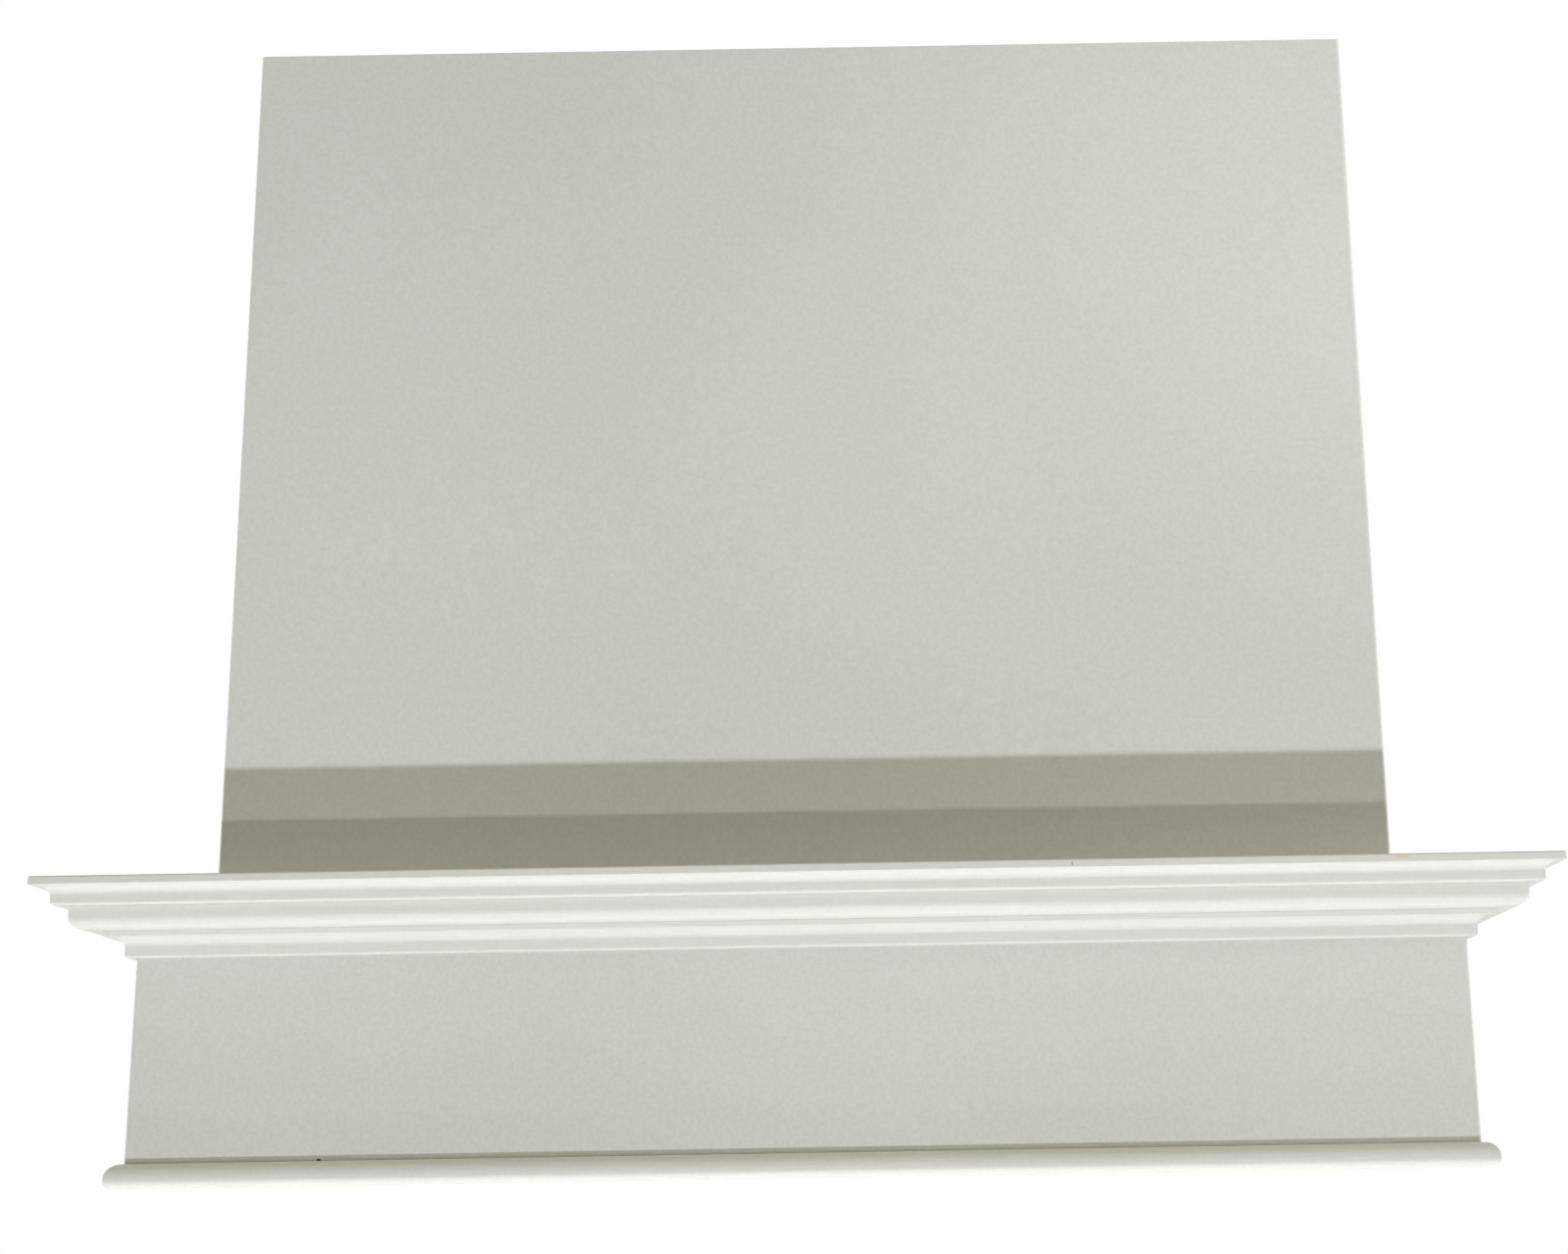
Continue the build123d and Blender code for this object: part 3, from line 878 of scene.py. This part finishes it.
def add_brads(name, rows, finish):
    """Filled holes along rows given as (distance out from the apron's face, height), on all three sides."""
    across = apron_half - brad_inset
    lines, aims = [], []
    for out, height in rows:
        face = -apron_front - out
        lines.append(((-across, face, height), (across, face, height)))
        aims.append((0, -1, 0))
        for side in (-1, 1):
            x = side * (apron_half + out)
            lines.append(((x, -apron_front + brad_inset, height), (x, -brad_inset, height)))
            aims.append((side, 0, 0))
    values = {"Spacing": brad_spacing, "Seed": 3, "Finish": finish}
    piece = grow(name, guide_lines(name + "_lines", lines, aims), brad_tree, values)
    layer = piece.data.attributes.new("paint", "FLOAT", "CORNER")
    layer.data.foreach_set("value", [1.0] * len(piece.data.loops))
    hang(piece)


apron_rows = [(0.0, apron_low.z + board_margin), (0.0, bed_low.z - board_margin)]
crown_rows = [(ovolo_out, ovolo_high.z - mould_margin), (cove_wall(bed_out), bed_low.z + mould_margin),
              (cove_wall(ledge_out), ledge_low.z + mould_margin)]
add_brads("filled_brads_apron", apron_rows, rolled_paint)
add_brads("filled_brads_crown", crown_rows, routed_paint_with_painted_light)

# %% [markdown]
# Inside, glue squeezed out along the strips and blocks and set in uneven beads. A bead is a thin tube along the
# joint whose wall is pushed about by noise, so that it thins, swells and breaks as real squeeze-out does.

# %% Glue beads
glue_inputs = [("Radius", "Float", 0.0012), ("Step", "Float", 0.006), ("Wobble", "Float", 0.002),
               ("Lumps", "Float", 45.0)]
swell_above = 0.58
glue_tree, given = new_tree("glue_beads", glue_inputs)
joints = put(glue_tree, "GeometryNodeMeshToCurve", {"Mesh": given["Geometry"]})
stepped = put(glue_tree, "GeometryNodeResampleCurve", {"Curve": joints, "Length": given["Step"]}, mode="LENGTH")
ring = put(glue_tree, "GeometryNodeCurvePrimitiveCircle", {"Resolution": 7, "Radius": given["Radius"]})
tube = put(glue_tree, "GeometryNodeCurveToMesh", {"Curve": stepped, "Profile Curve": ring, "Fill Caps": True})
lump = put(glue_tree, "ShaderNodeTexNoise", {"Scale": given["Lumps"], "Detail": 2.0})
swell = maths(glue_tree, "SUBTRACT", lump, swell_above)
push = maths(glue_tree, "MULTIPLY", swell, given["Wobble"])
normal = put(glue_tree, "GeometryNodeInputNormal")
push_by = vector_maths(glue_tree, "SCALE", normal, push)
beads = put(glue_tree, "GeometryNodeSetPosition", {"Geometry": tube, "Offset": push_by})
smooth = put(glue_tree, "GeometryNodeSetShadeSmooth", {0: beads})
close_tree(glue_tree, smooth, given["Finish"])

nailer_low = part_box("top_nailer_front")[0]
glue_lines = []
for z in (nailer_low.z, ledger_high.z):
    across = inner_half - corner_reach
    glue_lines.append(((-across, -inner_front, z), (across, -inner_front, z)))
    for side in (-1, 1):
        x = side * inner_half
        glue_lines.append(((x, -inner_front + corner_reach, z), (x, -rail_thickness, z)))
block_edges = ((inner_half - corner_reach, inner_front), (inner_half, inner_front - corner_reach))
for side in (-1, 1):
    for x, y in block_edges:
        glue_lines.append(((side * x, -y, ledger_high.z), (side * x, -y, nailer_low.z)))
piece = grow("glue_squeeze_out", guide_lines("glue_lines", glue_lines), glue_tree, {"Finish": glue_finish})
hang(piece)

# %% [markdown]
# Three small marks on the front are worth keeping: an open nail hole in the seam above the nose, drawn as a
# near-black oval of painted shade, a short nick in the lip of the ledge, and a smear of yellow glue beside the
# foot of the box. Each is placed by the column where it shows in the picture, and set on the face that carries
# it.

# %% Small marks
nail_hole_px, nick_px, smear_px = Vector((325, 1187)), Vector((1094, 875)), Vector((1431, 869))
mark_rings = ((1.0, -0.4), (1.0, 0.0), (0.7, 0.06))  # share of the oval, mm proud of the face


def across_at(pixel, front):
    """How far along X the line of sight through a pixel meets the upright plane Y = -front."""
    way = aim.to_3x3() @ Vector(((pixel.x - axis_px.x), (axis_px.y - pixel.y), -focal_length_px))
    return camera_place.x + way.x * (-front - camera_place.y) / way.y


def mark(name, pixel, front, height, half_size, finish, steps=20):
    """A thin oval on an upright face that looks forward, a hair proud of it; half_size is across and up."""
    build = bmesh.new()
    across = across_at(pixel, front)
    turns = [2 * pi * i / steps for i in range(steps)]
    rings = []
    for share, proud in mark_rings:
        rings.append([build.verts.new((across + share * half_size[0] * cos(a), -front - proud * MM,
                                       height + share * half_size[1] * sin(a))) for a in turns])
    close_rings(build, rings)
    hang(settle(name, build, finish))
    print(name, "at", round(across, 3), "m")


ledge_face = apron_front + ledge_out
# The nail hole is a flat near-black oval, painted shade where a hole would be.
mark("nail_hole", nail_hole_px, apron_front, nose_high.z + 0.7 * MM, (1.6 * MM, 0.8 * MM), hole_shade_finish)
mark("lip_nick", nick_px, ledge_face, ledge_high.z - 3.4 * MM, (0.5 * MM, 1.6 * MM), nick_finish)
mark("glue_smear", smear_px, ledge_face, ledge_high.z - 2.4 * MM, (6.0 * MM, 0.9 * MM), glue_finish)

# %% [markdown]
# The stage is a pale floor at the height of a kitchen floor, well below the hung cover, and a white world
# behind. Light comes from in front and below: one parallel light casts the broad shadow of the ledge on the box,
# a second one the narrow shadow, and a wide soft panel under the hood fills the undersides of the mouldings. A
# window lamp and two soft pools shade the box front from side to side. Panels at the sides and the rear light
# the faces that the photograph doesn't show.

# %% Floor and world
floor_level, floor_radius = -1.65, 24.0
floor_dark, floor_light, black = (0.78, 0.78, 0.77), (0.82, 0.82, 0.81), (0.0, 0.0, 0.0)
fade_from, fade_to, near_glow = 1.0, 7.0, 0.60
build = bmesh.new()
bmesh.ops.create_circle(build, cap_ends=True, radius=floor_radius, segments=96)
bmesh.ops.translate(build, verts=build.verts, vec=(0, 0, floor_level))
floor_finish, tree, shader, spot = new_finish("pale_floor", 0.7)
level_spot = vector_maths(tree, "MULTIPLY", spot, (1, 1, 0))
away = put(tree, "ShaderNodeVectorMath", {0: level_spot}, output="Value", operation="LENGTH")
far = ramp(tree, away, fade_from, fade_to)
pale = mix_colour(tree, noise(tree, spot, 4.0, detail=3.0), floor_dark, floor_light)
feed(shader, "Base Color", mix_colour(tree, far, pale, black))
glow = mix_value(tree, far, near_glow, 1.0)
in_sight = put(tree, "ShaderNodeLightPath", output="Is Camera Ray")
feed(shader, "Emission Strength", maths(tree, "MULTIPLY", glow, in_sight))
shader.inputs["Specular IOR Level"].default_value = 0.0
floor = settle("floor", build, floor_finish)
floor.visible_shadow = False

white, warm, cool = (1.0, 1.0, 1.0), (1.0, 0.932, 0.690), (0.874, 0.921, 1.0)
world_level = 0.274
world = bpy.data.worlds.new("white_world")
scene.world = world
world.use_nodes = True
tree = world.node_tree
backdrop = tree.nodes["Background"]
path = tree.nodes.new("ShaderNodeLightPath").outputs
mirrored = maths(tree, "MAXIMUM", path["Is Glossy Ray"], path["Is Transmission Ray"])
seen = maths(tree, "MAXIMUM", path["Is Camera Ray"], mirrored)
feed(backdrop, "Strength", mix_value(tree, seen, world_level, 1.0))
feed(backdrop, "Color", mix_colour(tree, seen, warm, white))
print("floor at", floor_level, "m, world at", world_level)

# %% Lamps
key_spread, pool_source = radians(1.6), 0.2


def light(name, kind, place, target, power, colour=white):
    """A light that shines from its place to a target and hides from the camera."""
    data = bpy.data.lights.new(name, kind)
    data.energy, data.color = power, colour
    thing = bpy.data.objects.new(name, data)
    thing.location = place
    thing.rotation_mode = "QUATERNION"
    thing.rotation_quaternion = (Vector(target) - Vector(place)).to_track_quat("-Z", "Y")
    thing.visible_camera = False
    scene.collection.objects.link(thing)
    print(name, kind.lower(), round(power, 3))
    return data


def sun(name, rise, strength, colour):
    """Parallel light that rises straight towards the cover from in front and below."""
    data = light(name, "SUN", (0, 0, 0), (0, cos(rise), sin(rise)), strength, colour)
    data.angle = key_spread


def panel(name, place, target, width, depth, power):
    """A soft rectangular lamp that faces its target."""
    data = light(name, "AREA", place, target, power)
    data.shape = "RECTANGLE"
    data.size, data.size_y = width, depth


def pool(name, place, target, cone, power):
    """A round lamp whose soft cone leaves a pool of light on the box front."""
    data = light(name, "SPOT", place, target, power)
    data.spot_size, data.spot_blend, data.shadow_soft_size = cone, 1.0, pool_source


sun("key_low", radians(42.48), 1.509, cool)
sun("key_high", radians(27.63), 0.470, white)
panel("counter_bounce", (0, -0.62, -0.8), (0, -0.62, 0), width=2.2, depth=0.34, power=5.3)
panel("right_window", (1.9, -2.2, 1.5), (0.3, -0.5, 0.6), width=1.0, depth=1.0, power=14.2)
pool("right_pool", (1.0, -2.8, 0.8), (0.30, -0.508, 0.72), cone=radians(18), power=20.7)
pool("left_pool", (-1.6, -2.6, 0.6), (-0.30, -0.508, 0.52), cone=radians(14), power=15.8)
for hand, side in (("left", -1), ("right", 1)):
    panel(hand + "_panel", (3.2 * side, 0.3, 0.6), (0, -0.3, 0.45), width=1.6, depth=2.2, power=52)
panel("rear_panel", (0.6, 3.2, 1.8), (0, -0.2, 0.45), width=2.2, depth=1.6, power=70)
